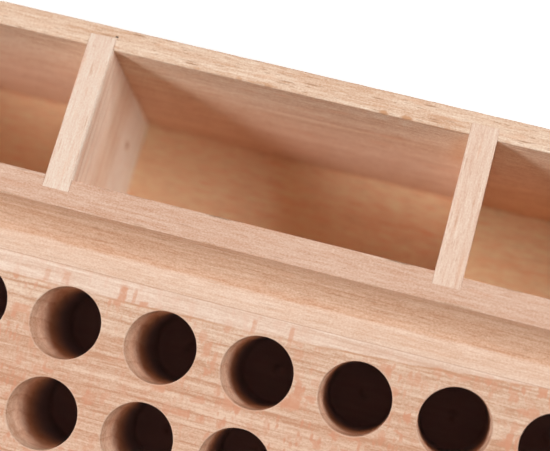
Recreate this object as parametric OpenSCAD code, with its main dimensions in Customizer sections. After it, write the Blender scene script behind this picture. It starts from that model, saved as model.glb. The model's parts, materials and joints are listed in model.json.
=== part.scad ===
// Tool storage caddy in beech.
// A three-compartment tray stands behind a solid block whose top slopes down
// to the front and is drilled with rows of blind holes for tool shanks.
// Millimetres. +X to the right, +Y to the back, +Z up.
// The origin is the middle of the underside.

/* [Tray] */
// Clear width of the middle compartment
middle_w = 76.2; // [50:0.1:100]
// Clear width of the left compartment
left_w = 77.2; // [50:0.1:100]
// Clear width of the right compartment
right_w = 75.2; // [50:0.1:100]
// Clear depth of the compartments, front to back
comp_d = 29.35; // [20:0.05:60]
// Depth of the compartments below the rim
comp_h = 49.9; // [47:0.1:65]
// Thickness of the back wall
back_t = 5.1; // [4:0.1:10]
// Thickness of the end walls and dividers
wall_t = 5.8; // [4:0.1:9]
// Thickness of the tray floor
floor_t = 6; // [3:0.5:12]
// Depth of the slots and rebates that house the boards
slot_d = 2.6; // [1:0.1:3.5]

/* [Rail] */
// Width of the flat top of the middle rail, behind its cove
rail_top = 5.95; // [4:0.05:12]
// Radius of the cove run along the rail's top front edge
cove_r = 6.15; // [4:0.05:8]
// Width of the flat ledge in front of the cove
ledge_w = 4.2; // [2:0.1:12]

/* [Tool block] */
// Slope of the block's top, down to the front, in degrees
slope = 10.05; // [0:0.05:12]
// Number of holes in each row
cols = 12; // [2:1:12]
// Number of rows of holes
rows = 3; // [1:1:3]
// Distance between holes in a row
pitch_x = 20.5; // [16:0.1:20.5]
// Distance between rows, along the slope
pitch_y = 19.15; // [17:0.05:24]
// Distance from the block's back edge to the first row, along the slope
first_row = 11.55; // [9:0.05:20]
// Distance from the last row to the block's front edge, along the slope
front_margin = 11.4; // [10.5:0.1:24]
// Sideways shift of the hole grid from the middle of the block
grid_shift = -1; // [-4:0.1:4]
// Diameter of the tool holes
hole_d = 15; // [5:0.5:16]
// Depth of the back row's holes, square to the slope
hole_depth = 36.5; // [10:0.5:37]
// How much shallower each row of holes is than the row behind it
row_step = 0.5; // [0:0.1:2]
// Radius of the block's top front edge
nose_r = 2.5; // [0.5:0.1:5]

/* [Hidden] */
$fn = 96;

// How far cuts run past the surfaces they open through
overcut = 0.5;
hole_overcut = 5;

// Heights
total_h = comp_h + floor_t;
ledge_z = total_h - cove_r;

// Depths: the sloping top, the rail with its ledge and cove, the whole caddy
slope_len = first_row + (rows - 1) * pitch_y + front_margin;
block_d = slope_len * cos(slope);
rail_d = rail_top + cove_r + ledge_w;
depth = block_d + rail_d + comp_d + back_t;

// Places along Y, from the front
y_front = -depth / 2;
y_crest = y_front + block_d;                // back edge of the sloping top
y_foot = y_crest + ledge_z * tan(slope);    // where block and rail meet underneath
y_cove = y_crest + ledge_w;                 // axis of the cove, back of the ledge
y_rail = y_crest + rail_d;                  // back face of the rail
y_wall = y_rail + comp_d;                   // front face of the back wall
y_back = depth / 2;

// Front and back edges of the boards housed between the rail and the back wall
y_board_front = y_rail - slot_d;
y_board_back = y_wall + slot_d;

// Places along X: the outer faces, then the left face of each divider
length = left_w + middle_w + right_w + 4 * wall_t;
x_left = -length / 2;
x_right = length / 2;
x_left_divider = x_left + wall_t + left_w;
x_right_divider = x_left_divider + wall_t + middle_w;

// Beech, with small differences of tone from board to board
tone_block = [0.87, 0.72, 0.61];
tone_rail = [0.88, 0.73, 0.63];
tone_back = [0.90, 0.76, 0.66];
tone_end = [0.88, 0.74, 0.62];
tone_floor = [0.82, 0.64, 0.49];
tone_divider = [0.93, 0.82, 0.73];

// ---- Helpers ----

// A profile drawn in (y, z) and carried along X over the caddy's full length
module full_length() {
    translate([x_left, 0, 0])
        rotate([90, 0, 90])
            linear_extrude(height = length) children();
}

// A box between any two opposite corners
module box(corner, opposite) {
    translate([for (i = [0:2]) min(corner[i], opposite[i])])
        cube([for (i = [0:2]) abs(opposite[i] - corner[i])]);
}

// The cuts that house the other boards in the rail or the back wall.
// face is the y of its side towards the compartments, dir points into the wood.
module housings(face, dir) {
    y_open = face - dir * overcut;
    y_bottom = face + dir * slot_d;

    // Divider slots, open at the top
    for (x = [x_left_divider, x_right_divider])
        box([x, y_open, floor_t], [x + wall_t, y_bottom, total_h + overcut]);

    // Rebates at both ends for the end walls
    for (x = [x_left - overcut, x_right - wall_t])
        box([x, y_open, -overcut],
            [x + wall_t + overcut, y_bottom, total_h + overcut]);

    // Rebate along the lower edge for the floor
    box([x_left - overcut, y_open, -overcut], [x_right + overcut, y_bottom, floor_t]);
}

// ---- Tool block ----

// Side profile: the back face is square to the sloping top, as the holes are,
// so it runs backwards down to the foot. The front is upright, its top edge rounded.
module block_profile() {
    corner = [y_front, ledge_z - slope_len * sin(slope)];
    // Distance from the corner to where the rounding meets each face
    tangent = nose_r / tan((90 + slope) / 2);
    union() {
        polygon([
            [y_foot, 0],
            [y_crest, ledge_z],
            corner + tangent * [cos(slope), sin(slope)],
            corner - [0, tangent],
            [y_front, 0]
        ]);
        translate(corner + [nose_r, -tangent]) circle(r = nose_r);
    }
}

// One blind hole, square to the slope. down is its distance from the block's
// back edge, along the slope.
module tool_hole(x, down, deep) {
    translate([x, y_crest - down * cos(slope), ledge_z - down * sin(slope)])
        rotate([slope, 0, 0])
            translate([0, 0, -deep])
                cylinder(d = hole_d, h = deep + hole_overcut);
}

module tool_block() {
    color(tone_block)
        difference() {
            full_length() block_profile();
            for (row = [0:rows - 1], col = [0:cols - 1])
                tool_hole(x = grid_shift + (col - (cols - 1) / 2) * pitch_x,
                          down = first_row + row * pitch_y,
                          deep = hole_depth - row * row_step);
        }
}

// ---- Tray ----

// Side profile: a cove along the top front edge runs down to a ledge, and the
// front face leans to lie against the block
module rail_profile() {
    difference() {
        polygon([
            [y_foot, 0],
            [y_rail, 0],
            [y_rail, total_h],
            [y_cove, total_h],
            [y_cove, ledge_z],
            [y_crest, ledge_z]
        ]);
        translate([y_cove, total_h]) circle(r = cove_r);
    }
}

// Rail behind the block, the front of the tray
module mid_rail() {
    color(tone_rail)
        difference() {
            full_length() rail_profile();
            housings(face = y_rail, dir = -1);
        }
}

module back_wall() {
    color(tone_back)
        difference() {
            box([x_left, y_wall, 0], [x_right, y_back, total_h]);
            housings(face = y_wall, dir = 1);
        }
}

// End wall, rebated along its lower inside edge for the floor.
// inner is the x of its inside face, dir points outwards.
module end_wall(inner, dir) {
    color(tone_end)
        difference() {
            box([inner, y_board_front, 0],
                [inner + dir * wall_t, y_board_back, total_h]);
            box([inner - dir * overcut, y_board_front - overcut, -overcut],
                [inner + dir * slot_d, y_board_back + overcut, floor_t]);
        }
}

module left_end() {
    end_wall(inner = x_left + wall_t, dir = -1);
}

module right_end() {
    end_wall(inner = x_right - wall_t, dir = 1);
}

module tray_floor() {
    color(tone_floor)
        box([x_left + wall_t - slot_d, y_board_front, 0],
            [x_right - wall_t + slot_d, y_board_back, floor_t]);
}

// Divider standing on the floor, x is its left face
module divider(x) {
    color(tone_divider)
        box([x, y_board_front, floor_t], [x + wall_t, y_board_back, total_h]);
}

module left_divider() {
    divider(x_left_divider);
}

module right_divider() {
    divider(x_right_divider);
}

tool_block();
mid_rail();
back_wall();
left_end();
right_end();
tray_floor();
left_divider();
right_divider();
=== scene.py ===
# A beech caddy. A block with a sloping, drilled top stands in front, against a rail that rises
# in a cove from a narrow ledge. Behind the rail is a tray with two ends, two dividers, a floor
# and a back wall. X runs along the caddy from left to right, Y from front to back, Z up, and it
# stands on Z = 0. Meshes are in metres, shader coordinates in millimetres.
import json
import math
from itertools import product

import bmesh
import bpy
from mathutils import Matrix, Vector, noise


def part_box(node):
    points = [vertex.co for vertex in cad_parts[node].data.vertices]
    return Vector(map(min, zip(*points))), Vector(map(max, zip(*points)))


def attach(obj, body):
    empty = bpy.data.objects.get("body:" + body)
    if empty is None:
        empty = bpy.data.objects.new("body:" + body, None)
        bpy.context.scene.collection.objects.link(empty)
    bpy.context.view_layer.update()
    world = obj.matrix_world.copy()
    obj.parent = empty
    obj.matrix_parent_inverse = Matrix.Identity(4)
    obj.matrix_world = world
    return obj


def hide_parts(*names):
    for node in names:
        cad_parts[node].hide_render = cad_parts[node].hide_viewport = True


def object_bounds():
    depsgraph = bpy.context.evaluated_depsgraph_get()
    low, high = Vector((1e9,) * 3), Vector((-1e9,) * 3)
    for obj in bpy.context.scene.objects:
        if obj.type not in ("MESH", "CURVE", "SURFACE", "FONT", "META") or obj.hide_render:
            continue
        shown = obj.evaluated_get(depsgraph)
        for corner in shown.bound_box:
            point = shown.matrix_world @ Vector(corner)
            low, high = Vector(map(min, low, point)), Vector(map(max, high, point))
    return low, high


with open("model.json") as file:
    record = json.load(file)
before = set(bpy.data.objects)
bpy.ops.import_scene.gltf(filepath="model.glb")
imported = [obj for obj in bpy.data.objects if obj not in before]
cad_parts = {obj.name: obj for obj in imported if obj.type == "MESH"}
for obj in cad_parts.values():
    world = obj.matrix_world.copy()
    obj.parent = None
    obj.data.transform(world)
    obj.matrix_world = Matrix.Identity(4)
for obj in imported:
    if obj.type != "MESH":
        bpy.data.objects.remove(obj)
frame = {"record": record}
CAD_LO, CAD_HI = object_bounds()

MM = 0.001

# ---------------------------------------------------------------- driving dimensions
block_low, block_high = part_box("tool_block")
rail_low, rail_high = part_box("mid_rail")
back_low, back_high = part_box("back_wall")
left_end_low, left_end_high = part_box("left_end")
right_end_low, right_end_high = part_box("right_end")
floor_low, floor_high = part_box("tray_floor")
left_div_low, left_div_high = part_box("left_divider")
right_div_low, right_div_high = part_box("right_divider")

X_LEFT, X_RIGHT = CAD_LO.x, CAD_HI.x
Z_RIM = CAD_HI.z                          # rim of the tray
Z_LEDGE = block_high.z                    # ledge in front of the cove
Y_FOOT = block_high.y                     # foot of the leaning joint between block and rail
Y_RAIL = rail_high.y                      # tray side of the rail
Y_WALL = back_low.y                       # tray side of the back wall
COVE_R = Z_RIM - Z_LEDGE
LEDGE_W = 4.2 * MM
SLOT_DEPTH = left_div_high.y - Y_WALL     # how far the boards are let in

mouths, depths = [], []                   # of the drilled holes
for mount in frame["record"]["mounts"]:
    if mount["kind"] == "bore":
        axis = Vector(mount["axis"]).normalized()
        depth = mount["dims"]["length_mm"] * MM
        if not mouths:
            SLOPE_OUT = axis              # square to the sloping top
            HOLE_R = mount["dims"]["r_mm"] * MM
        mouths.append(Vector(mount["pos_m"]) + axis * (depth / 2))
        depths.append(depth)
DOWNHILL = Vector((0, -SLOPE_OUT.z, SLOPE_OUT.y))   # down the slope, to the front
LEAN = -SLOPE_OUT.y / SLOPE_OUT.z
Y_CREST = Y_FOOT - Z_LEDGE * LEAN         # where the joint comes up between slope and ledge
CREST = Vector((0, Y_CREST, Z_LEDGE))

GUARD = 0.7 * MM                          # from an edge to the mesh line beside it
BEVEL_R = 0.45 * MM                       # edge radius at a weight of 1
SHARP = math.radians(25)                  # edges bent more than this are rounded
FLUSH = 0.06                              # edge weight where two pieces meet flush
TOUCH, CLEAR = 1e-5, 1e-4                 # tolerances for on a plane and off a plane


# ---------------------------------------------------------------- mesh tools
class Shape:
    """Faces given by the places of their corners, with shared corners."""

    SNAP = 2e6                            # places are matched to 1 / SNAP metres

    def __init__(self):
        self.corners, self.index_at, self.faces = [], {}, []

    def corner(self, place):
        key = tuple(round(c * self.SNAP) for c in place)
        if key not in self.index_at:
            self.index_at[key] = len(self.corners)
            self.corners.append(tuple(place))
        return self.index_at[key]

    def face(self, *places):
        ids = []
        for place in places:
            index = self.corner(place)
            if index not in ids:
                ids.append(index)
        if len(ids) > 2:
            self.faces.append(ids)

    def strip(self, first, second):
        """A closed band of faces between two rings."""
        for i in range(len(first)):
            j = (i + 1) % len(first)
            self.face(first[i], first[j], second[j], second[i])


def lines(breaks, step, guard):
    """Grid lines through every break, with a guard line close to each and steps between."""
    breaks = sorted(set(round(b, 7) for b in breaks))
    out = []
    for start, end in zip(breaks, breaks[1:]):
        out.append(start)
        if end - start > 3.2 * guard:
            out.append(start + guard)
            count = max(1, round((end - start - 2 * guard) / step))
            out += [start + guard + (end - start - 2 * guard) * i / count
                    for i in range(1, count)]
            out.append(end - guard)
        elif end - start > 1.2 * guard:
            out.append((start + end) / 2)
    out.append(breaks[-1])
    return out


# the step to the neighbour on each side of a cell, and the corners of that side
CELL_SIDES = (
    ((-1, 0, 0), ((0, 0, 0), (0, 0, 1), (0, 1, 1), (0, 1, 0))),
    ((1, 0, 0), ((1, 0, 0), (1, 1, 0), (1, 1, 1), (1, 0, 1))),
    ((0, -1, 0), ((0, 0, 0), (1, 0, 0), (1, 0, 1), (0, 0, 1))),
    ((0, 1, 0), ((0, 1, 0), (0, 1, 1), (1, 1, 1), (1, 1, 0))),
    ((0, 0, -1), ((0, 0, 0), (0, 1, 0), (1, 1, 0), (1, 0, 0))),
    ((0, 0, 1), ((0, 0, 1), (1, 0, 1), (1, 1, 1), (0, 1, 1))),
)


def from_cells(xs, ys, zs, solid, warp=lambda p: p):
    """The skin of every cell of a grid that solid(centre) keeps, its corners moved by warp."""
    axes = (xs, ys, zs)

    def centre(cell):
        return Vector([(axis[i] + axis[i + 1]) / 2 for axis, i in zip(axes, cell)])

    def shifted(cell, step):
        return tuple(i + d for i, d in zip(cell, step))

    def place(cell):
        return warp(Vector([axis[i] for axis, i in zip(axes, cell)]))

    cells = [c for c in product(*(range(len(axis) - 1) for axis in axes)) if solid(centre(c))]
    kept = set(cells)
    shape = Shape()
    for cell in cells:
        for step, corners in CELL_SIDES:
            if shifted(cell, step) not in kept:
                shape.face(*(place(shifted(cell, corner)) for corner in corners))
    return shape


def inside(p, boxes):
    return any(all(low[i] < p[i] < high[i] for i in range(3)) for low, high in boxes)


def rounded(name, shape, weight):
    """An object from a shape, its sharp edges rounded by weight(midpoint, direction)."""
    mesh = bpy.data.meshes.new(name)
    mesh.from_pydata(shape.corners, [], shape.faces)
    work = bmesh.new()
    work.from_mesh(mesh)
    bmesh.ops.recalc_face_normals(work, faces=work.faces)
    layer = work.edges.layers.float.new("bevel_weight_edge")
    for edge in work.edges:
        if len(edge.link_faces) == 2 and edge.calc_face_angle(0) > SHARP:
            start, end = (vert.co for vert in edge.verts)
            edge[layer] = weight((start + end) / 2, (start - end).normalized())
    work.to_mesh(mesh)
    work.free()
    piece = bpy.data.objects.new(name, mesh)
    bpy.context.scene.collection.objects.link(piece)
    bevel = piece.modifiers.new("round", "BEVEL")
    bevel.limit_method = "WEIGHT"
    bevel.width = BEVEL_R
    bevel.segments = 3
    bevel.use_clamp_overlap = True
    bevel.miter_outer = "MITER_SHARP"
    depsgraph = bpy.context.evaluated_depsgraph_get()
    done = bpy.data.meshes.new_from_object(piece.evaluated_get(depsgraph))
    piece.modifiers.clear()
    piece.data = done
    done.name = name
    return piece


# unevenness in mm: over whole faces, then on rounded edges as (amount, cycles per mm, offset)
FACE_WEAR = 0.012
FACE_WEAR_SCALE = (0.05, 0.09, 0.09)
EDGE_WEAR = ((0.045, 0.33, 7), (0.03, 0.9, 3))


def wear(mesh, seed, wobble, flush, nick):
    """Moves the skin in and out. Each fade in flush holds it still where pieces meet."""
    work = bmesh.new()
    work.from_mesh(mesh)
    work.normal_update()
    for vert in work.verts:
        # 0 on a flat face, up to 1 on a rounded edge
        bends = [edge.link_faces[0].normal.angle(edge.link_faces[1].normal, 0)
                 for edge in vert.link_edges if len(edge.link_faces) == 2]
        sharpness = min(1.0, max(bends, default=0) / SHARP)
        c = vert.co / MM
        at = Vector([v * scale for v, scale in zip(c, FACE_WEAR_SCALE)]) + Vector((seed, 0, 0))
        move = wobble * FACE_WEAR * noise.noise(at)
        for amount, scale, offset in EDGE_WEAR:
            at = c * scale + Vector((0, seed, offset))
            move += wobble * amount * sharpness * noise.noise(at)
        for fade in flush:
            move *= fade(c)
        if nick:
            move -= nick(c)
        vert.co += vert.normal * move * MM
    work.to_mesh(mesh)
    work.free()


def finish_piece(node, shape, weight, seed, wobble=1.0, flush=(), nick=None):
    """A shape becomes a rounded, slightly worn piece that stands in for a CAD node."""
    piece = rounded("caddy_" + node, shape, weight)
    wear(piece.data, seed, wobble, flush, nick)
    for polygon in piece.data.polygons:
        # the ends of the block are single many-sided faces, and stay flat
        polygon.use_smooth = len(polygon.vertices) < 12
    piece.data.update()
    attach(piece, "root")
    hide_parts(node)
    return piece


# Fades, from 0 where the wood is sanded flush to 1 away from there. Places are in mm.
def joint_fade(c):
    """Still along the joint between block and rail."""
    return min(1.0, max(0.0, abs(c.y - Y_CREST / MM) - 0.2) / 3.0)


def divider_fade(c):
    """Still where a divider sits in its slots."""
    return min(1.0, max(0.0, min(c.y - Y_RAIL / MM, Y_WALL / MM - c.y)) / 1.5)


def slot_fade(c):
    """Still round the divider slots of the rail and the back wall."""
    if min(c.y - (Y_RAIL - SLOT_DEPTH) / MM, (Y_WALL + SLOT_DEPTH) / MM - c.y) <= -0.1:
        return 1.0
    near = min(max(0.0, low.x / MM - c.x, c.x - high.x / MM)
               for low, high in ((left_div_low, left_div_high), (right_div_low, right_div_high)))
    return min(1.0, near / 1.5)


# ---------------------------------------------------------------- tool block
NOSE_R = 2.5 * MM                         # rounding between the slope and the front
SPANS = 16                                # mesh spans on each side of a hole's cell
WALL_RINGS = (0.7, 3, 8, 14, 20, 26, 32)  # depths of the rings down a hole, mm
# rings on the floor of a hole: radius, depth below the floor, mm. A small pit is in the middle.
FLOOR_RINGS = ((6.8, 0), (4.4, 0), (1.9, 0.0), (1.3, 0.12), (0.75, 0.50), (0.25, 0.85))
PIT_DEPTH = 1.05 * MM

slope_len = (Y_CREST - block_low.y) / -DOWNHILL.y
slope_angle = math.atan2(-DOWNHILL.z, -DOWNHILL.y)
nose_run = NOSE_R / math.tan((math.pi / 2 + slope_angle) / 2)
flat_len = slope_len - nose_run           # the slope without its nose


def between(start, end):
    return [start + (end - start) * i / SPANS for i in range(SPANS + 1)]


def spread_over(cells):
    """Mesh lines through a row of cells, without the first."""
    return [v for start, end in zip(cells, cells[1:]) for v in between(start, end)[1:]]


def middles(values):
    return [(a + b) / 2 for a, b in zip(values, values[1:])]


def on_slope(x, down, out=0.0):
    return Vector((x, 0, 0)) + CREST + DOWNHILL * down + SLOPE_OUT * out


def add_hole(shape, x, down, x_span, down_span, depth):
    """The cell of the sloping top round one hole, and the hole itself."""
    (x0, x1), (down0, down1) = x_span, down_span
    corners = [(x0, down0), (x1, down0), (x1, down1), (x0, down1)]
    ring = []
    for start, end in zip(corners, corners[1:] + corners[:1]):
        side = list(zip(between(start[0], end[0]), between(start[1], end[1])))
        ring += [on_slope(*point) for point in side[:-1]]
    # the rings run through the direction of each corner, evenly between
    turns = [math.atan2(c[1] - down, c[0] - x) for c in corners]
    for i in range(1, 4):
        while turns[i] < turns[i - 1]:
            turns[i] += 2 * math.pi
    turns.append(turns[0] + 2 * math.pi)
    angles = [a for start, end in zip(turns, turns[1:]) for a in between(start, end)[:-1]]

    rings = [(HOLE_R + GUARD, 0.0), (HOLE_R, 0.0)]
    rings += [(HOLE_R, -d * MM) for d in (*WALL_RINGS, depth / MM - 0.7, depth / MM)]
    rings += [(r * MM, -depth - d * MM) for r, d in FLOOR_RINGS]
    for radius, out in rings:
        inner = [on_slope(x + radius * math.cos(a), down + radius * math.sin(a), out)
                 for a in angles]
        shape.strip(ring, inner)
        ring = inner
    tip = on_slope(x, down, -depth - PIT_DEPTH)
    for start, end in zip(ring, ring[1:] + ring[:1]):
        shape.face(start, end, tip)


def block_profile(downs):
    """Section of the block square to X: slope, nose, front, underside and leaning back."""
    y_front, z_base = block_low.y, block_low.z
    top = [CREST + DOWNHILL * down for down in downs]
    centre = Vector((0, y_front + NOSE_R, (CREST + DOWNHILL * slope_len).z - nose_run))
    start = math.atan2((top[-1] - centre).z, (top[-1] - centre).y)
    turns = [start + (math.pi - start) * i / 8 for i in range(1, 9)]
    nose = [centre + NOSE_R * Vector((0, math.cos(a), math.sin(a))) for a in turns]
    z_nose = nose[-1].z
    front = [Vector((0, y_front, z)) for z in
             (z_nose - 4 * MM, (z_nose + z_base) * 0.6, (z_nose + z_base) * 0.35,
              z_base + GUARD, z_base)]
    under = [Vector((0, y, z_base)) for y in
             (y_front + GUARD, y_front + 15 * MM, y_front + 30 * MM, y_front + 45 * MM,
              Y_FOOT - GUARD, Y_FOOT)]
    rear = [Vector((0, Y_CREST + (Z_LEDGE - z) * LEAN, z)) for z in
            (z_base + GUARD, z_base + 16 * MM, z_base + 32 * MM, Z_LEDGE - GUARD)]
    return top + nose + front + under + rear


def add_block_end(shape, outer):
    """An end of the block, with an inner ring so that it shades flat."""
    count = len(outer)
    mid_y = sum(p.y for p in outer) / count
    mid_z = sum(p.z for p in outer) / count
    inner = []
    for i, here in enumerate(outer):
        before = (here - outer[i - 1]).normalized()
        after = (outer[(i + 1) % count] - here).normalized()
        normal = Vector((0, -before.z, before.y))
        inward = (normal + Vector((0, -after.z, after.y))).normalized()
        if inward.dot(Vector((0, mid_y - here.y, mid_z - here.z))) < 0:
            inward = -inward
        inner.append(here + inward * GUARD / max(0.3, abs(inward.dot(normal))))
    shape.strip(outer, inner)
    shape.face(*inner)


def build_block():
    shape = Shape()
    depth_at = {(round(mouth.x, 6), round((mouth - CREST).dot(DOWNHILL), 6)): depth
                for mouth, depth in zip(mouths, depths)}
    hole_xs = sorted(set(x for x, down in depth_at))
    hole_downs = sorted(set(down for x, down in depth_at))
    cell_xs = [X_LEFT + GUARD] + middles(hole_xs) + [X_RIGHT - GUARD]
    cell_downs = [GUARD] + middles(hole_downs) + [flat_len - GUARD]
    for i, x in enumerate(hole_xs):
        for j, down in enumerate(hole_downs):
            add_hole(shape, x, down, cell_xs[i:i + 2], cell_downs[j:j + 2], depth_at[(x, down)])

    # the rest of the skin: a profile carried along X
    xs = [X_LEFT, X_LEFT + GUARD] + spread_over(cell_xs) + [X_RIGHT]
    downs = [0.0, GUARD] + spread_over(cell_downs) + [flat_len]
    profile = block_profile(downs)
    count = len(profile)

    def section(x):
        return [Vector((x, p.y, p.z)) for p in profile]

    for x0, x1 in zip(xs, xs[1:]):
        first, second = section(x0), section(x1)
        within = x0 > X_LEFT + GUARD / 2 and x1 < X_RIGHT - GUARD / 2
        for i in range(count):
            # the field of hole cells is already there
            if not (within and 1 <= i < len(downs) - 2):
                j = (i + 1) % count
                shape.face(first[i], second[i], second[j], first[j])
    for x in (X_LEFT, X_RIGHT):
        add_block_end(shape, section(x))
    return shape


def block_weight(mid, direction):
    if abs(mid.y - Y_CREST) < TOUCH and mid.z > Z_LEDGE - TOUCH:
        return FLUSH
    if (mid.z > block_low.z + CLEAR and X_LEFT + CLEAR < mid.x < X_RIGHT - CLEAR
            and mid.y > block_low.y + CLEAR):
        # rims of the holes, and their floors
        return 0.55 if abs((mid - CREST).dot(SLOPE_OUT)) < TOUCH else 0.15
    return 1.3


# ---------------------------------------------------------------- slots
def board_space(x0, x1, z0=-MM, z1=Z_RIM + MM):
    """The room a board takes between the bottoms of the slots in rail and back wall."""
    return Vector((x0, Y_RAIL - SLOT_DEPTH, z0)), Vector((x1, Y_WALL + SLOT_DEPTH, z1))


FLOOR_SPACE = board_space(X_LEFT - MM, X_RIGHT + MM, z1=floor_high.z)
BOARD_SPACES = [
    board_space(left_div_low.x, left_div_high.x, z0=left_div_low.z),
    board_space(right_div_low.x, right_div_high.x, z0=right_div_low.z),
    board_space(left_end_low.x - MM, left_end_high.x),
    board_space(right_end_low.x, right_end_high.x + MM),
    FLOOR_SPACE,
]
X_BREAKS = [X_LEFT, X_RIGHT, left_end_high.x, right_end_low.x, left_div_low.x, left_div_high.x,
            right_div_low.x, right_div_high.x]
SLOT_GUARD = 0.55 * MM


# ---------------------------------------------------------------- rail
COVE_STEPS = 14
Y_COVE = Y_CREST + LEDGE_W                # back edge of the ledge, where the cove starts


def build_rail():
    y_upright = Y_RAIL - SLOT_DEPTH - 1.0 * MM    # the lean fades out by here
    cove_ys = [Y_COVE + COVE_R * math.sin(math.pi / 2 * i / COVE_STEPS)
               for i in range(COVE_STEPS + 1)]
    ys = [Y_CREST, Y_CREST + GUARD, Y_CREST + 2.2 * MM] + cove_ys
    ys += lines([cove_ys[-1], Y_RAIL - SLOT_DEPTH, Y_RAIL], 2 * MM, SLOT_GUARD)[1:]
    zs = lines([rail_low.z, floor_high.z, Z_LEDGE], 6 * MM, GUARD)
    zs += [Z_RIM - 3 * MM, Z_RIM - GUARD, Z_RIM]
    xs = lines(X_BREAKS, 2.5 * MM, GUARD)
    round_off = 1e-7

    def warp(p):
        if p.z < Z_LEDGE and p.y < y_upright:
            # the front face leans with the block it lies against
            fade = y_upright - Y_CREST
            return Vector((p.x, p.y + (Z_LEDGE - p.z) * LEAN * (y_upright - p.y) / fade, p.z))
        if p.z > Z_LEDGE + round_off and p.y < cove_ys[-1] - round_off:
            drop = math.sqrt(max(0.0, COVE_R ** 2 - max(0.0, p.y - Y_COVE) ** 2))
            rise = (Z_RIM - drop - Z_LEDGE) * (p.z - Z_LEDGE) / (Z_RIM - Z_LEDGE)
            return Vector((p.x, p.y, Z_LEDGE + rise))
        return p

    def solid(c):
        return not (c.z > Z_LEDGE and c.y < Y_COVE) and not inside(c, BOARD_SPACES)

    return from_cells(xs, ys, zs, solid, warp)


def rail_weight(mid, direction):
    if abs(mid.y - Y_CREST) < TOUCH and mid.z > Z_LEDGE - TOUCH:
        return FLUSH
    if abs(mid.y - Y_RAIL) < TOUCH and mid.z > Z_RIM - TOUCH:
        return 0.5
    if abs(mid.z - Z_RIM) < TOUCH and abs(mid.y - (Y_COVE + COVE_R)) < CLEAR:
        return 0.7
    if mid.y > Y_RAIL - SLOT_DEPTH - TOUCH and mid.z > floor_high.z - TOUCH:
        return 0.05                       # the slots
    return 1.0


# ---------------------------------------------------------------- back wall
# chips in the inner top edge: x, half width, mm
CHIPS = ((21.2, 1.0), (26.0, 1.3), (-9.8, 0.8), (-3.4, 0.9), (47.0, 0.7))


def build_back():
    xs = lines(X_BREAKS, 1.0 * MM, GUARD)
    ys = lines([Y_WALL, Y_WALL + SLOT_DEPTH, back_high.y], 3 * MM, SLOT_GUARD)
    zs = lines([back_low.z, floor_high.z, Z_RIM], 5 * MM, GUARD)
    return from_cells(xs, ys, zs, lambda c: not inside(c, BOARD_SPACES))


def back_weight(mid, direction):
    if (Y_WALL - TOUCH < mid.y < Y_WALL + SLOT_DEPTH + TOUCH
            and X_LEFT + CLEAR < mid.x < X_RIGHT - CLEAR):
        inner_top = abs(mid.y - Y_WALL) < TOUCH and mid.z > Z_RIM - TOUCH
        return 0.6 if inner_top and abs(direction.x) > 0.5 else FLUSH
    return 0.9


def torn_edge(c):
    """How far the inner top edge is cut in, mm: a little ragged, with a few small chips."""
    reach = 0.7
    near = max(abs(c.y - Y_WALL / MM), abs(c.z - Z_RIM / MM))
    if near > reach:
        return 0.0
    cut = (0.10 * max(0.0, noise.noise(Vector((c.x * 0.9, 2.0, 5.0))))
           + 0.07 * abs(noise.noise(Vector((c.x * 2.3, 4.0, 1.0)))))
    for x, half_width in CHIPS:
        cut += 0.28 * max(0.0, 1 - ((c.x - x) / half_width) ** 2)
    return cut * (reach - near) / reach


# ---------------------------------------------------------------- ends, floor, dividers
def build_end(low, high, inward):
    """An end board, rebated for the floor. inward is the X direction of the tray, 1 or -1."""
    face = high.x if inward > 0 else low.x
    rebate = face - inward * SLOT_DEPTH
    beyond = face + inward * MM
    floor_near, floor_far = FLOOR_SPACE
    cut = (Vector((min(rebate, beyond), floor_near.y - MM, -MM)),
           Vector((max(rebate, beyond), floor_far.y + MM, floor_high.z)))
    xs = lines([low.x, high.x, rebate], 3 * MM, 0.6 * MM)
    ys = lines([low.y, Y_RAIL, Y_WALL, high.y], 2.5 * MM, GUARD)
    zs = lines([low.z, floor_high.z, high.z], 5 * MM, GUARD)
    return from_cells(xs, ys, zs, lambda c: not inside(c, [cut]))


def build_board(low, high, y_breaks=()):
    xs = lines([low.x, high.x], 2.5 * MM, GUARD)
    ys = lines([low.y, high.y, *y_breaks], 2.5 * MM, GUARD)
    zs = lines([low.z, high.z], 5 * MM, GUARD)
    return from_cells(xs, ys, zs, lambda c: True)


def divider_weight(mid, direction):
    at_rim = mid.z > Z_RIM - TOUCH
    if abs(direction.y) > 0.9 and at_rim and Y_RAIL < mid.y < Y_WALL:
        # the right top edge of the left divider is rounder than the rest
        return 1.4 if abs(mid.x - left_div_high.x) < CLEAR else 0.45
    return FLUSH if at_rim else 0.12


def end_weight(mid, direction):
    return 0.8 if abs(direction.y) > 0.9 and mid.z > Z_RIM - TOUCH else 0.2


def floor_weight(mid, direction):
    return 0.3


block = finish_piece("tool_block", build_block(), block_weight,
                     seed=1.0, wobble=0.8, flush=(joint_fade,))
rail = finish_piece("mid_rail", build_rail(), rail_weight,
                    seed=2.0, wobble=0.35, flush=(joint_fade, slot_fade))
back = finish_piece("back_wall", build_back(), back_weight,
                    seed=3.0, flush=(slot_fade,), nick=torn_edge)
left_end = finish_piece("left_end", build_end(left_end_low, left_end_high, 1),
                        end_weight, seed=4.0)
right_end = finish_piece("right_end", build_end(right_end_low, right_end_high, -1),
                         end_weight, seed=5.0)
tray_floor = finish_piece("tray_floor", build_board(floor_low, floor_high),
                          floor_weight, seed=6.0)
left_divider = finish_piece(
    "left_divider", build_board(left_div_low, left_div_high, (Y_RAIL, Y_WALL)),
    divider_weight, seed=7.0, flush=(divider_fade,))
right_divider = finish_piece(
    "right_divider", build_board(right_div_low, right_div_high, (Y_RAIL, Y_WALL)),
    divider_weight, seed=8.0, flush=(divider_fade,))


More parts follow.
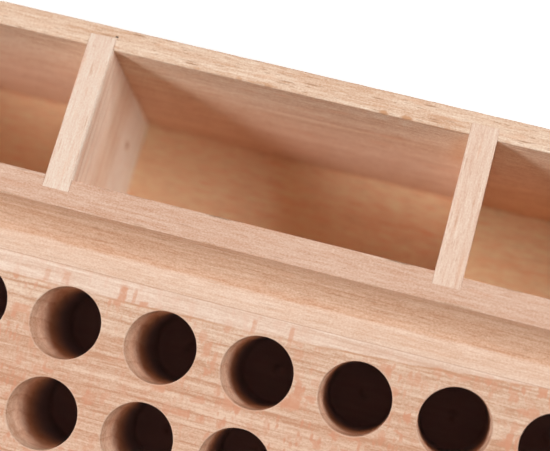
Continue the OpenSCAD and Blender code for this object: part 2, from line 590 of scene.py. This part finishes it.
# ---------------------------------------------------------------- shader tools
class Value:
    """An output socket. Arithmetic on it makes Math nodes."""

    def __init__(self, graph, socket):
        self.graph, self.socket = graph, socket

    def math(self, operation, *others):
        return self.graph.math(operation, self, *others)

    def __add__(self, other):
        return self.math("ADD", other)

    def __radd__(self, other):
        return self.graph.math("ADD", other, self)

    def __sub__(self, other):
        return self.math("SUBTRACT", other)

    def __rsub__(self, other):
        return self.graph.math("SUBTRACT", other, self)

    def __mul__(self, other):
        return self.math("MULTIPLY", other)

    def __truediv__(self, other):
        return self.math("DIVIDE", other)

    def __abs__(self):
        return self.math("ABSOLUTE")

    def smooth(self, start, end, low=0.0, high=1.0):
        """Eases from low, where the value is at start, to high, where it is at end."""
        node = self.graph.node("ShaderNodeMapRange", interpolation_type="SMOOTHSTEP")
        self.graph.put(node.inputs["Value"], self)
        for name, bound in (("From Min", start), ("From Max", end),
                            ("To Min", low), ("To Max", high)):
            node.inputs[name].default_value = bound
        return Value(self.graph, node.outputs[0])


class Graph:
    """Builds a node tree out of Values."""

    def __init__(self, tree):
        self.tree = tree

    def node(self, kind, **settings):
        node = self.tree.nodes.new(kind)
        for name, setting in settings.items():
            setattr(node, name, setting)
        return node

    def source(self, kind, output):
        return Value(self, self.node(kind).outputs[output])

    def put(self, socket, content):
        if isinstance(content, Value):
            self.tree.links.new(content.socket, socket)
        else:
            socket.default_value = content

    def math(self, operation, *terms, clamp=False):
        node = self.node("ShaderNodeMath", operation=operation, use_clamp=clamp)
        for socket, term in zip(node.inputs, terms):
            self.put(socket, term)
        return Value(self, node.outputs[0])

    def vector(self, *parts):
        node = self.node("ShaderNodeCombineXYZ")
        for socket, part in zip(node.inputs, parts):
            self.put(socket, part)
        return Value(self, node.outputs[0])

    def split(self, vector):
        node = self.node("ShaderNodeSeparateXYZ")
        self.put(node.inputs[0], vector)
        return [Value(self, socket) for socket in node.outputs]

    def noise(self, place, detail=2.0, rough=0.5, scale=1.0, output="Fac"):
        """Noise at three coordinates. Factors on them are roughly cycles per mm."""
        vector = self.vector(*place)
        node = self.node("ShaderNodeTexNoise", noise_dimensions="3D")
        self.put(node.inputs["Vector"], vector)
        node.inputs["Scale"].default_value = scale
        node.inputs["Detail"].default_value = detail
        node.inputs["Roughness"].default_value = rough
        return Value(self, node.outputs[output])

    def mix(self, amount, first, second, kind="MIX"):
        node = self.node("ShaderNodeMix", data_type="RGBA", blend_type=kind)
        self.put(node.inputs["Factor"], amount)
        for socket, colour in ((node.inputs[6], first), (node.inputs[7], second)):
            self.put(socket, colour if isinstance(colour, Value) else (*colour, 1.0))
        return Value(self, node.outputs[2])


# ---------------------------------------------------------------- wood
class Wood:
    """One board's colour as it is built up, and the coordinates it depends on, in mm.

    The grain runs along X or Y. Rings circle the heart, a line along the grain, and rays run
    out from it. A face cut through the heart shows broad flecks, one cut across the rays shows
    short dashes, and an end shows rings.
    """

    def __init__(self, graph, tone, grain, heart, ring, ray_radius, seed):
        self.graph, self.tone, self.colour = graph, tone, None
        place = graph.source("ShaderNodeTexCoord", "Object")
        scaled = graph.node("ShaderNodeVectorMath", operation="SCALE")
        graph.put(scaled.inputs[0], place)
        scaled.inputs["Scale"].default_value = 1 / MM
        self.place = graph.split(Value(graph, scaled.outputs[0]))
        self.facing = graph.split(graph.source("ShaderNodeNewGeometry", "Normal"))
        long, cross = (0, 1) if grain == "X" else (1, 0)
        self.length = self.place[long]
        self.along = self.length + seed * 137.0
        self.across = self.place[cross] - heart[0]
        self.height = self.place[2] - heart[1]
        # slow wander of the grain
        wander = graph.split(self.noise(0.012, 0.05, output="Color"))
        self.bent = (self.across + (wander[0] - 0.5) * 4.0,
                     self.height + (wander[1] - 0.5) * 4.0)
        across, height = self.bent
        self.radius = (across * across + height * height).math("SQRT")
        self.arc = height.math("ARCTAN2", across) * ray_radius
        # growth rings: uneven widths, a soft dark line where each ends
        uneven = (graph.noise((0.0, self.radius * 0.16, seed)) - 0.5) * 2.6
        rings = self.radius * (1.0 / ring) + uneven
        part = rings.math("FRACT")
        random = graph.node("ShaderNodeTexWhiteNoise", noise_dimensions="1D")
        graph.put(random.inputs["W"], rings.math("FLOOR") + seed * 7.3)
        self.ring_tone = Value(graph, random.outputs["Value"])
        late = part.math("POWER", 6.0)
        self.ring_line = late.math("MAXIMUM", part.smooth(0.0, 0.05, 1.0, 0.0))
        # how the face lies: towards the heart, and across the grain
        outward = self.facing[cross] * across + self.facing[2] * height
        self.radial = abs(outward / self.radius.math("MAXIMUM", 0.5))
        self.end_on = abs(self.facing[long])

    def noise(self, along, across, bent=False, **settings):
        """Noise with these cycles per mm along and across the grain."""
        sides = self.bent if bent else (self.across, self.height)
        place = (self.along * along, sides[0] * across, sides[1] * across)
        return self.graph.noise(place, **settings)

    def shade(self, scale):
        """The board's tone with each channel scaled."""
        return [min(1.0, part * factor) for part, factor in zip(self.tone, scale)]

    def blend(self, mask, colour):
        self.colour = self.graph.mix(mask, self.colour, colour)

    def tint(self, mask, scale):
        self.blend(mask, self.shade(scale))

    def multiply(self, mask, factors):
        self.colour = self.graph.mix(mask, self.colour, factors, "MULTIPLY")

    def rays(self, cell, offset, keep, size, soft, bend):
        """Cells of a size (along, radial, round the heart), bent a little, some of them filled.

        Gives the mask and a random strength for each cell."""
        graph = self.graph
        along, radial, around = cell
        shift = graph.split(graph.noise(
            (self.along * (1.1 / along), self.radius * (1.1 / radial), self.arc * 0.5),
            detail=3.0, rough=0.65, output="Color"))
        node = graph.node("ShaderNodeTexVoronoi", voronoi_dimensions="3D", feature="F1",
                          distance="EUCLIDEAN")
        graph.put(node.inputs["Vector"], graph.vector(
            self.along * (1.0 / along) + offset + (shift[0] - 0.5) * bend,
            self.radius * (1.0 / radial) + (shift[1] - 0.5) * bend,
            self.arc * (1.0 / around) + (shift[2] - 0.5) * (bend * 0.5)))
        node.inputs["Scale"].default_value = 1.0
        random = graph.split(Value(graph, node.outputs["Color"]))
        body = Value(graph, node.outputs["Distance"]).smooth(size, size * soft)
        return body * random[0].smooth(keep, keep + 0.01), random[1]

    def spot(self, centre, size, soft=0.5):
        """1 inside a ragged ellipsoid, 0 outside."""
        x, y, z = [(v - c) * (1.0 / s) for v, c, s in zip(self.place, centre, size)]
        distance2 = x * x + y * y + z * z
        ragged = self.graph.noise(self.place, detail=3.0, rough=0.6, scale=1.3)
        return (distance2.math("SQRT") + (ragged - 0.5) * 0.9).smooth(1.0, soft)


# cell size (along, radial, round the heart), offset, share left empty, size, softness, bend,
# strength
FLECKS = (
    ((1.9, 3.8, 3.0), 3.1, 0.46, 0.54, 0.55, 1.1, 1.15),
    ((3.2, 2.0, 3.0), 9.3, 0.66, 0.52, 0.50, 1.3, 1.0),
    ((0.9, 2.2, 3.0), 17.7, 0.40, 0.52, 0.50, 1.0, 0.9),
)
# cell size, offset, share left empty, size, strength
DASHES = (
    ((6.4, 9.0, 0.62), 11.7, 0.60, 0.36, 0.85),
    ((3.0, 9.0, 0.45), 23.3, 0.50, 0.34, 0.6),
)


def add_flecks(wood, side, amount, where):
    mask = (1.0 - wood.radial.smooth(0.15, 0.5)) * side * amount
    if where:
        mask = mask * where(wood)
    patches = wood.noise(0.030, 0.09).smooth(0.34, 0.58, 0.35, 1.0)
    for *cell, strength in FLECKS:
        filled, random = wood.rays(*cell)
        filled = filled * patches * (0.12 + random * 0.95) * strength
        wood.tint(filled.math("MINIMUM", 1.0) * mask, (0.95, 0.68, 0.58))


def add_dashes(wood, side, amount, mark):
    mask = wood.radial.smooth(0.35, 0.75) * side
    for *cell, strength in DASHES:
        filled, random = wood.rays(*cell, soft=0.35, bend=0.6)
        filled = filled * (0.15 + random * random * 0.85) * (strength * amount)
        wood.tint(filled * mask, mark)


def add_end_grain(wood, ends_at):
    """End grain drinks more light, and shows rings and rays."""
    graph = wood.graph
    pores = wood.noise(0.2, 6.0, rough=0.6)
    colour = graph.mix(pores.smooth(0.4, 0.72) * 0.6,
                       wood.shade((0.80, 0.70, 0.62)), wood.shade((0.62, 0.48, 0.40)))
    rays = graph.noise((wood.along * 0.1, wood.radius * 0.12, wood.arc * 3.4))
    colour = graph.mix(rays.smooth(0.5, 0.72) * 0.5, colour, wood.shade((0.93, 0.86, 0.78)))
    colour = graph.mix(wood.ring_line * 0.6, colour, wood.shade((0.50, 0.36, 0.28)))
    mask = wood.end_on.smooth(0.55, 0.85)
    if ends_at:
        mask = mask * abs(wood.length).smooth(ends_at - 2.0, ends_at - 1.0, 0.12, 1.0)
    wood.blend(mask, colour)


def beech(piece, name, heart, ring, tone, gain, ray_radius, seed, grain="X", wide=1.0,
          fibre=1.0, hair=1.0, grit=1.0, fleck=0.0, dash=0.0, blotch=0.5, band=0.5,
          coarse=1.0, spread=(0.23, 0.35, 0.43), mark=(0.50, 0.36, 0.27), ends_at=None,
          where=None, extra=None):
    """Covers a piece in solid beech.

    heart, ring: centre of the rings across the grain, and ring width, mm
    ray_radius: distance from the heart at which the rays have their true size, mm
    gain, spread: contrast of the grain, and how far its light and dark lie from the tone
    wide, fibre, hair, grit: strength of the streaks, from broad to fine; coarse widens them
    fleck, dash, blotch, band: strength of flecks, dashes (tinted by mark), smears and rings
    ends_at: |length| of the ends, if end grain shows faintly before them
    where, extra: mask for the flecks, and details painted on top
    """
    material = bpy.data.materials.new(name)
    material.use_nodes = True
    material.node_tree.nodes.clear()
    graph = Graph(material.node_tree)
    wood = Wood(graph, tone, grain, heart, ring, ray_radius, seed)

    def streak(along, across, detail=3.0, rough=0.6, bent=False):
        level = wood.noise(along, across / coarse, bent, detail=detail, rough=rough)
        return (level - 0.5) * 2.0        # swings about 0

    drift = streak(0.010, 0.05, rough=0.55)
    broad = streak(0.012, 0.45, bent=True)
    fibres = streak(0.030, 1.5, rough=0.62)
    hairs = streak(0.24, 2.3, detail=2.0)
    grains = streak(2.2, 3.4, detail=2.0)
    level = ((broad * (0.16 * wide) + fibres * (0.30 * fibre))
             + (hairs * (0.34 * hair) + grains * (0.22 * grit)))
    level = level + drift * 0.10
    level = level - (wood.ring_tone - 0.5) * (0.10 * band)
    level = level - wood.ring_line * (0.16 * band)
    level = level * gain
    light = [min(1.0, part * (1 + reach)) for part, reach in zip(tone, spread)]
    dark = [2 * part - bright for part, bright in zip(tone, light)]
    wood.colour = graph.mix(graph.math("ADD", level, 0.5, clamp=True), dark, light)
    # warm smears
    warm = wood.noise(0.11, 0.55, detail=3.0, rough=0.6)
    wood.tint(warm.smooth(0.54, 0.74) * (0.55 * blotch), (1.0, 0.80, 0.68))

    side = 1.0 - wood.end_on.smooth(0.3, 0.7)
    if fleck:
        add_flecks(wood, side, fleck, where)
    if dash:
        add_dashes(wood, side, dash, mark)
    if extra:
        extra(wood)
    add_end_grain(wood, ends_at)

    shader = graph.node("ShaderNodeBsdfPrincipled")
    graph.put(shader.inputs["Base Color"], wood.colour)
    graph.put(shader.inputs["Roughness"], 0.62 - fibres * 0.10)
    shader.inputs["Specular IOR Level"].default_value = 0.30
    # relief: fibres stand proud, the dark lines sink
    fine = wood.noise(3.0, 9.0, rough=0.6)
    relief = fibres * 0.5 + (hairs * 0.6 + fine * 0.4) - wood.ring_line * 0.2
    bump = graph.node("ShaderNodeBump")
    bump.inputs["Strength"].default_value = 0.5
    bump.inputs["Distance"].default_value = 0.00006
    graph.put(bump.inputs["Height"], relief)
    graph.put(shader.inputs["Normal"], Value(graph, bump.outputs[0]))
    output = graph.node("ShaderNodeOutputMaterial")
    graph.put(output.inputs["Surface"], Value(graph, shader.outputs[0]))
    piece.data.materials.clear()
    piece.data.materials.append(material)


# ---------------------------------------------------------------- details of the block
GLUE_LINE = (0.66, 0.50, 0.42)
# the boldest flecks: x, distance down the slope, half width, half height, strength
BOLD_FLECKS = (
    (-21.5, 3.1, 0.85, 2.0, 1.0), (-19.0, 2.7, 0.4, 1.6, 0.8), (-16.8, 3.9, 0.95, 0.6, 0.9),
    (-33.9, 2.5, 0.8, 1.5, 0.6), (-38.0, 2.8, 0.6, 1.6, 0.5), (-1.8, 9.5, 0.8, 1.7, 0.9),
    (0.2, 11.6, 0.4, 2.2, 0.8), (6.4, 2.6, 0.5, 1.6, 0.7), (14.2, 2.7, 0.5, 2.0, 0.7),
    (16.6, 6.0, 1.0, 1.1, 0.6), (17.2, 10.1, 0.8, 1.2, 0.6), (18.2, 15.3, 1.3, 1.8, 1.0),
    (5.0, 18.4, 1.1, 2.0, 0.9), (-9.3, 19.5, 1.3, 0.9, 1.0), (-5.2, 16.6, 0.5, 1.3, 0.8),
    (-41.6, 10.8, 1.9, 0.9, 0.8), (-37.6, 16.9, 0.6, 1.4, 0.7), (-4.1, 23.3, 1.9, 0.7, 0.9),
    (0.4, 23.6, 1.0, 0.7, 0.8), (40.4, 5.5, 1.6, 0.8, 0.5), (44.5, 2.2, 0.9, 1.0, 0.5),
    (60.1, 3.2, 0.7, 1.1, 0.7), (64.6, 5.6, 1.1, 1.2, 0.8),
)
# splinters at the rims of two holes: x, distance down the slope, size
SPLINTERS = ((52.0, 4.5, 0.36), (33.9, 5.4, 0.22))


def from_crest(wood, direction):
    """Distance from the crest along a direction square to X."""
    y, z = wood.place[1:]
    return (y - CREST.y / MM) * direction.y + (z - CREST.z / MM) * direction.z


def brown_line(wood):
    """How far down the slope the brown ring line runs, from end to end."""
    x = wood.place[0] - 3.0
    wobble = wood.graph.noise((wood.place[0] * 0.06, 3.0, 1.0), detail=3.0, rough=0.6)
    wobble = (wobble - 0.5) * 1.6
    return 3.9 - x * 0.032 - x * x * 0.00045 + wobble


def off_pale_band(wood):
    return (from_crest(wood, DOWNHILL) - brown_line(wood)).smooth(-0.8, 0.6, 0.30, 1.0)


def bold_flecks(wood, down):
    ragged = wood.graph.noise((wood.place[0], down, 0.0), detail=3.0, rough=0.65, scale=1.1)
    bold = None
    for x, row, half_width, half_height, strength in BOLD_FLECKS:
        dx = abs((wood.place[0] - x) * (1.0 / half_width))
        dy = abs((down - row) * (1.0 / half_height))
        distance = dx.math("SMOOTH_MAX", dy, 0.4) + (ragged - 0.5) * 1.15
        fleck = distance.smooth(1.25, 0.60) * strength
        bold = fleck if bold is None else bold.math("MAXIMUM", fleck)
    return bold


def from_row(value, places):
    """Distance to the nearest of the evenly spaced lines that start with these places."""
    first, second = sorted(set(places))[:2]
    pitch = second - first
    part = ((value - first) * (1.0 / pitch) + 0.5).math("FRACT")
    return abs(part - 0.5) * pitch


def on_block(wood):
    x, y, z = wood.place
    down = from_crest(wood, DOWNHILL)
    below = 0.0 - from_crest(wood, SLOPE_OUT)
    up = wood.facing[2].smooth(0.3, 0.8)
    past_line = down - brown_line(wood)
    # a pale band along the crest, a brown ring line, then redder wood down the slope
    wood.tint(past_line.smooth(0.25, -0.5) * up * 0.30, (1.16, 1.26, 1.33))
    wood.multiply(past_line.smooth(0.25, -0.5) * up, (1.07, 1.145, 1.23))
    thin = abs(past_line)
    wispy = wood.graph.noise((x * 0.05, 7.0, 2.0), detail=3.0, rough=0.6)
    wispy = wispy.smooth(0.36, 0.60, 0.25, 1.0)
    wood.tint(thin.smooth(0.34, 0.04) * wispy * (up * 0.70), (0.80, 0.60, 0.45))
    wood.multiply(down.smooth(5.0, 26.0) * up, (0.975, 0.91, 0.88))
    # bold flecks, uneven in strength
    uneven = wood.graph.noise((x * 0.8, down * 0.8, 9.0), rough=0.6)
    skin = below.smooth(0.3, 0.1) * uneven.smooth(0.25, 0.6, 0.5, 0.9)
    wood.tint(bold_flecks(wood, down) * up * skin, (0.96, 0.70, 0.60))
    # the glued joint, a fine darker line
    wood.tint(abs(down).smooth(0.16, 0.05) * up * 0.45, GLUE_LINE)
    # the eased rims of the holes catch the light
    dx = from_row(x, [round(mouth.x / MM, 3) for mouth in mouths])
    dy = from_row(down, [round((mouth - CREST).dot(DOWNHILL) / MM, 3) for mouth in mouths])
    radius = (dx * dx + dy * dy).math("SQRT")
    rim = radius.smooth(HOLE_R / MM + 0.45, HOLE_R / MM + 0.15) * (below.smooth(0.5, 0.2) * up)
    wood.tint(rim * 0.35, (1.10, 1.20, 1.28))
    for splinter_x, row, size in SPLINTERS:
        centre = CREST / MM + Vector((splinter_x, 0, 0)) + DOWNHILL * row
        splinter = wood.spot(centre, (size * 1.6, size, size * 1.5))
        wood.blend(splinter * 0.8, (0.98, 0.86, 0.74))
    # inside the block, clear of its underside, front and ends
    front, end = block_low.y / MM, X_RIGHT / MM
    clear = y.smooth(front + 1.2, front + 2.2) * abs(x).smooth(end - 1.2, end - 2.2)
    inner = below.smooth(0.4, 2.0) * (z.smooth(0.5, 2.0) * clear)
    # painted light and shade in the holes: the drilled walls are painted lighter part way down,
    # where the light reaches them, and greyer and darker towards their floors, and the floors
    # the same, where they lie in shade
    level = abs(wood.facing[1] * SLOPE_OUT.y + wood.facing[2] * SLOPE_OUT.z).smooth(0.4, 0.8)
    wall = inner * (1.0 - level)
    wood.multiply(wall * (below.smooth(3.0, 9.0) * below.smooth(20.0, 14.0)),
                  (1.20, 1.23, 1.27))
    wood.tint(wall * below.smooth(15.0, 29.0, 0.0, 0.85), (0.46, 0.72, 1.35))
    wood.tint(inner * level * 0.85, (0.50, 0.60, 1.05))


# ---------------------------------------------------------------- details of the boards
def on_rail(wood):
    x, y, z = wood.place
    up = wood.facing[2]
    # the ledge is cut from the pale sapwood side of the board
    wave = (wood.graph.noise((x * 0.03, 5.0, 1.0), detail=3.0, rough=0.6) - 0.5) * 2.0
    pale = (y + wave).smooth(Y_COVE / MM + 0.6, Y_COVE / MM - 0.5) * up.smooth(0.6, 0.9)
    wood.blend(pale * 0.30, wood.tone)
    wood.multiply(pale, (1.11, 1.30, 1.48))
    # the top at the rim is slightly cooler
    rim = z.smooth(Z_RIM / MM - 1.0, Z_RIM / MM - 0.3) * up.smooth(0.8, 0.95)
    wood.multiply(rim, (0.975, 0.995, 1.06))
    joint = abs(y - Y_CREST / MM).smooth(0.14, 0.04)
    wood.tint(joint * up.smooth(0.3, 0.8) * 0.45, GLUE_LINE)


# marks on the inner top edge of the back wall: x, half width, strength
EDGE_MARKS = ((21.2, 1.2, 1.0), (26.0, 1.5, 1.0), (-9.8, 0.9, 0.6), (-3.4, 1.1, 0.6),
              (-19.0, 0.8, 0.35), (34.5, 1.0, 0.4), (47.0, 0.9, 0.4))


def on_back(wood):
    x, y, z = wood.place
    wall, rim = Y_WALL / MM, Z_RIM / MM
    for mark_x, half_width, strength in EDGE_MARKS:
        mark = wood.spot((mark_x, wall + 0.3, rim), (half_width, 0.62, 0.9))
        wood.tint(mark * (strength * 0.9), (0.78, 0.56, 0.40))
    # the corner of the left divider's slot is not quite filled, and the shade in that gap is
    # painted as a near-black spot
    gap_shade = wood.spot((left_div_high.x / MM - 0.05, wall + 2.95, rim), (0.46, 0.28, 1.0))
    wood.blend(gap_shade * 0.95, (0.02, 0.012, 0.01))
    # the inner face is painted slightly warmer overall, with painted light making it lighter
    # towards the rim, where the light falls, and painted shade making it browner low down past
    # the right divider
    face = wood.facing[1].smooth(-0.4, -0.8)
    wood.multiply(face, (1.05, 1.01, 1.01))
    wood.multiply(face * z.smooth(24.0, 50.0), (1.04, 1.12, 1.14))
    right = right_div_high.x / MM
    wood.multiply(face * (z.smooth(40.0, 20.0) * x.smooth(right - 1.0, right + 1.0)),
                  (0.92, 0.84, 0.72))
    # an orange stain on the inner face, by the right divider
    stain = wood.spot((right_div_low.x / MM - 1.5, wall, 44.0), (3.2, 1.0, 13.0), soft=0.1)
    wood.tint(stain * 0.40, (0.92, 0.72, 0.50))


def on_floor(wood):
    x, y, z = wood.place
    # cloudy, with short darker flecks along the grain
    clouds = wood.graph.noise((x * 0.22, y * 0.42, 4.0), detail=3.0, rough=0.6)
    flecks = wood.graph.noise((x * 0.55, y * 1.00, 9.0), rough=0.6)
    wood.tint(clouds.smooth(0.50, 0.72) * 0.26, (0.86, 0.74, 0.66))
    wood.tint(flecks.smooth(0.54, 0.72) * 0.34, (0.84, 0.72, 0.62))
    # a little darker in the right compartment
    wood.multiply(x.smooth(right_div_low.x / MM, right_div_high.x / MM), (0.95, 0.995, 0.965))
    wood.tint(clouds.smooth(0.46, 0.28) * 0.22, (1.08, 1.16, 1.22))


# darker lines along the right face of the left divider: height, half width, strength
DIVIDER_LINES = ((53.0, 0.7, 0.42), (50.4, 0.6, 0.36), (46.8, 1.2, 0.26), (38.5, 1.0, 0.30))


def on_left_divider(wood):
    x, y, z = wood.place
    # a pin knot on the right face: a halo, then its core
    knot = (left_div_high.x / MM, 40.4, 20.3)
    wood.tint(wood.spot(knot, (1.0, 1.9, 3.0), soft=0.2) * 0.55, (0.84, 0.66, 0.52))
    wood.tint(wood.spot(knot, (1.0, 1.2, 2.0), soft=0.2) * 0.85, (0.56, 0.40, 0.32))
    wave = (wood.graph.noise((2.0, y * 0.06, 1.0)) - 0.5) * 3.0
    side = wood.facing[0].smooth(0.4, 0.8)
    # fine broken lines in a band under the top edge
    thin = wood.graph.noise((y * 0.14, (z + wave) * 1.9, 3.0), detail=3.0, rough=0.65)
    wood.tint(thin.smooth(0.50, 0.66) * side * z.smooth(43.0, 48.0, 0.0, 0.42),
              (0.78, 0.66, 0.60))
    # lighter overall, paler at the foot, darker half way up
    wood.multiply(side, (1.065, 1.085, 1.085))
    wood.multiply(side * z.smooth(34.0, 16.0), (1.02, 1.15, 1.22))
    wood.multiply(side * (z.smooth(24.0, 32.0) * z.smooth(46.0, 38.0)), (0.90, 0.85, 0.80))
    for height, half_width, strength in DIVIDER_LINES:
        line = abs(z - height - wave).smooth(half_width, half_width * 0.2)
        wood.tint(line * side * strength, (0.80, 0.66, 0.56))


# ---------------------------------------------------------------- the eight materials
END_TONE = (0.84, 0.60, 0.44)
# the block's heart lies in front of it, 3 mm under the line of the slope
heart_y = block_low.y / MM - 55
heart_z = (CREST.z / MM + (heart_y - CREST.y / MM) * math.tan(math.asin(-SLOPE_OUT.y))
           - 3.0)
beech(block, "beech_block", heart=(heart_y, heart_z), ring=3.4, tone=(0.73, 0.475, 0.335),
      gain=3.6, fleck=0.85, coarse=1.2, wide=1.1, fibre=0.85, hair=0.55, grit=0.8, band=0.6,
      blotch=0.35, ends_at=X_RIGHT / MM, ray_radius=85, where=off_pale_band,
      spread=(0.185, 0.335, 0.43), seed=1.0, extra=on_block)
beech(rail, "beech_rail", heart=(Y_CREST / MM + 30, -70), ring=3.0, tone=(0.745, 0.458, 0.308),
      gain=1.8, dash=0.45, wide=0.7, fibre=0.8, hair=0.75, grit=1.7, blotch=0.4,
      ray_radius=124, spread=(0.19, 0.35, 0.46), seed=2.0, extra=on_rail)
beech(back, "beech_back", heart=(Y_WALL / MM + 14, -95), ring=3.2, tone=(0.84, 0.595, 0.435),
      gain=2.2, dash=1.3, wide=0.9, fibre=0.9, hair=0.8, grit=1.4, blotch=0.8,
      ray_radius=151, spread=(0.19, 0.34, 0.44), mark=(0.56, 0.42, 0.33), seed=3.0,
      extra=on_back)
beech(left_end, "beech_end_l", grain="Y", heart=(X_LEFT / MM - 60, 20), ring=2.8,
      tone=END_TONE, gain=1.8, fleck=0.6, dash=0.5, ray_radius=64, seed=4.0)
beech(right_end, "beech_end_r", grain="Y", heart=(X_RIGHT / MM + 55, 10), ring=2.8,
      tone=END_TONE, gain=1.8, fleck=0.6, dash=0.5, ray_radius=62, seed=5.0)
beech(tray_floor, "beech_floor", heart=(Y_RAIL / MM + 10, -60), ring=3.0,
      tone=(0.95, 0.64, 0.395), gain=1.4, dash=0.8, wide=0.8, fibre=0.9, hair=1.6,
      blotch=0.6, band=0.4, ray_radius=60, seed=6.0, extra=on_floor)
beech(left_divider, "beech_div_l", grain="Y", heart=(left_div_low.x / MM - 14, -50), ring=7.0,
      tone=(0.875, 0.67, 0.535), gain=1.3, dash=0.9, wide=1.3, fibre=0.25, hair=0.8,
      grit=1.4, blotch=0.7, band=0.4, ray_radius=106, mark=(0.78, 0.60, 0.50), seed=7.0,
      extra=on_left_divider)
beech(right_divider, "beech_div_r", grain="Y", heart=(right_div_low.x / MM + 18, -50),
      ring=6.0, tone=(0.85, 0.61, 0.47), gain=1.5, dash=0.9, wide=0.9, fibre=0.6, hair=0.8,
      grit=1.3, blotch=0.9, band=0.4, ray_radius=106, mark=(0.72, 0.54, 0.44), seed=8.0)

# ---------------------------------------------------------------- stage
scene = bpy.context.scene
ground_mesh = bpy.data.meshes.new("floor")
grid = bmesh.new()
bmesh.ops.create_grid(grid, x_segments=8, y_segments=8, size=2.5)
grid.to_mesh(ground_mesh)
grid.free()
ground = bpy.data.objects.new("floor", ground_mesh)
scene.collection.objects.link(ground)
ground.location.z = CAD_LO.z - 0.0001
white = bpy.data.materials.new("floor_white")
white.use_nodes = True
surface = white.node_tree.nodes["Principled BSDF"].inputs
surface["Base Color"].default_value = (0.93, 0.93, 0.93, 1.0)
surface["Roughness"].default_value = 0.85
surface["Emission Color"].default_value = (1.0, 1.0, 1.0, 1.0)
# paper white to the camera away from the caddy, a softer white to everything else
ground_graph = Graph(white.node_tree)
ground_x, ground_y, _ = ground_graph.split(ground_graph.source("ShaderNodeTexCoord", "Object"))
away = (ground_x * ground_x + ground_y * ground_y).math("SQRT")
seen = ground_graph.source("ShaderNodeLightPath", "Is Camera Ray")
ground_graph.put(surface["Emission Strength"], 0.33 + seen * away.smooth(0.04, 0.30, 0.0, 0.6))
ground_mesh.materials.append(white)

# ---------------------------------------------------------------- camera
# from above the front, turned a little, over the middle compartment
CAMERA_TURN = (-0.242414, 0.095950, 0.256716)     # axis times angle, from looking straight down
CAMERA_RIGHT = 41.63 * MM                         # of the middle of that compartment
CAMERA_FORWARD = 65.379 * MM                      # in front of the rail's tray side
CAMERA_ABOVE = 285.65 * MM                        # above the rim

camera_data = bpy.data.cameras.new("camera")
camera = bpy.data.objects.new("camera", camera_data)
scene.collection.objects.link(camera)
scene.camera = camera
camera_data.sensor_width = 36.0
camera_data.lens = 95.91
angle = math.sqrt(sum(part * part for part in CAMERA_TURN))
turn = Matrix.Rotation(angle, 3, Vector(CAMERA_TURN) / angle)
view = turn @ Matrix(((1, 0, 0), (0, -1, 0), (0, 0, -1)))     # rows: right, down, ahead
pose = Matrix((view[0], -view[1], -view[2])).transposed()
mid_x = (left_div_high.x + right_div_low.x) / 2
camera_place = Vector((mid_x + CAMERA_RIGHT, Y_RAIL - CAMERA_FORWARD, Z_RIM + CAMERA_ABOVE))
camera.matrix_world = Matrix.Translation(camera_place) @ pose.to_4x4()
camera_data.clip_start = 0.01
camera_data.clip_end = 20
focus = bpy.data.objects.new("focus", None)
scene.collection.objects.link(focus)
focus.location = Vector((mid_x, Y_CREST, Z_LEDGE))
camera_data.dof.use_dof = True
camera_data.dof.focus_object = focus
camera_data.dof.aperture_fstop = 11.0

# ---------------------------------------------------------------- light
world = bpy.data.worlds.new("world")
scene.world = world
world.use_nodes = True
background = world.node_tree.nodes["Background"].inputs
background["Color"].default_value = (1.0, 1.0, 1.0, 1.0)
# white to the eye of the camera, and only a trace of light from it
sky = Graph(world.node_tree)
strength = sky.node("ShaderNodeMapRange")
sky.put(strength.inputs["Value"], sky.source("ShaderNodeLightPath", "Is Camera Ray"))
strength.inputs["To Min"].default_value = 0.02
strength.inputs["To Max"].default_value = 1.0
sky.put(background["Strength"], Value(sky, strength.outputs[0]))

# Soft boxes: azimuth (0 in front, 90 to the right), elevation, power. The first bank is to the
# right and back right, the second to the left and front left.
SOFT_BOXES = (
    (108, 46, 3.9), (145, 46, 3.1), (90, 46, 2.2), (90, 34, 1.9), (118, 34, 1.2),
    (300, 43, 6.4), (300, 32, 2.6), (285, 40, 2.5), (268, 31, 1.7),
)
BOX_SIZE = 0.26
BOX_DISTANCE = 1.3
BOX_AIM = Vector((0.01, 0.01, 0.04))


def soft_box(azimuth, elevation, power):
    name = "soft_%d_%d" % (azimuth, elevation)
    light = bpy.data.lights.new(name, "AREA")
    light.shape = "RECTANGLE"
    light.size = light.size_y = BOX_SIZE
    light.energy = power
    lamp = bpy.data.objects.new(name, light)
    scene.collection.objects.link(lamp)
    around, rise = math.radians(azimuth), math.radians(elevation)
    toward = Vector((math.sin(around) * math.cos(rise), -math.cos(around) * math.cos(rise),
                     math.sin(rise)))
    lamp.location = BOX_AIM + toward * BOX_DISTANCE
    lamp.rotation_euler = toward.to_track_quat("Z", "Y").to_euler()


for box in SOFT_BOXES:
    soft_box(*box)

scene.view_settings.view_transform = "Standard"
scene.view_settings.look = "None"
